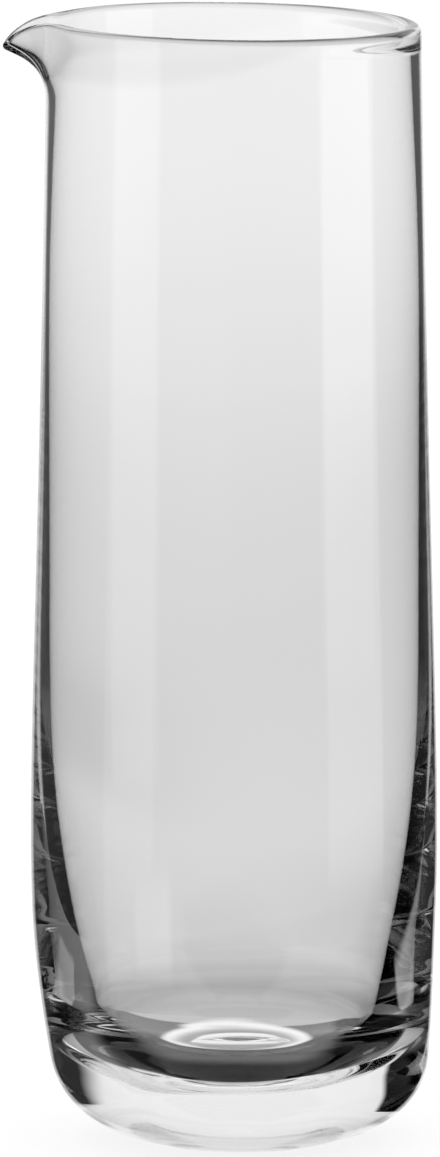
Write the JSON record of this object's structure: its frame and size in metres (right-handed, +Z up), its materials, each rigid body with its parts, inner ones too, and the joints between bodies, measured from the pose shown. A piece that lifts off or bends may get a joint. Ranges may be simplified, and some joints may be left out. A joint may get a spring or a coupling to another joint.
{
  "type": "water carafe",
  "caption": "Tall clear-glass water carafe with a softly bellied body, heavy rounded base, fire-polished rim and a small drawn pouring lip, held round the body; no handle or lid.",
  "frame": {"origin": "middle of the ring that the carafe stands on, on the body's axis, at the table plane", "axes": "+Z up the body's axis to the mouth, -X the way the lip pours, +Y away from the viewer of the picture"},
  "size_m": [0.0959, 0.09, 0.2499],
  "materials": {
    "glass": "clear, fire-polished"
  },
  "bodies": {
    "root": {"carafe": "glass"}
  },
  "joints": []
}
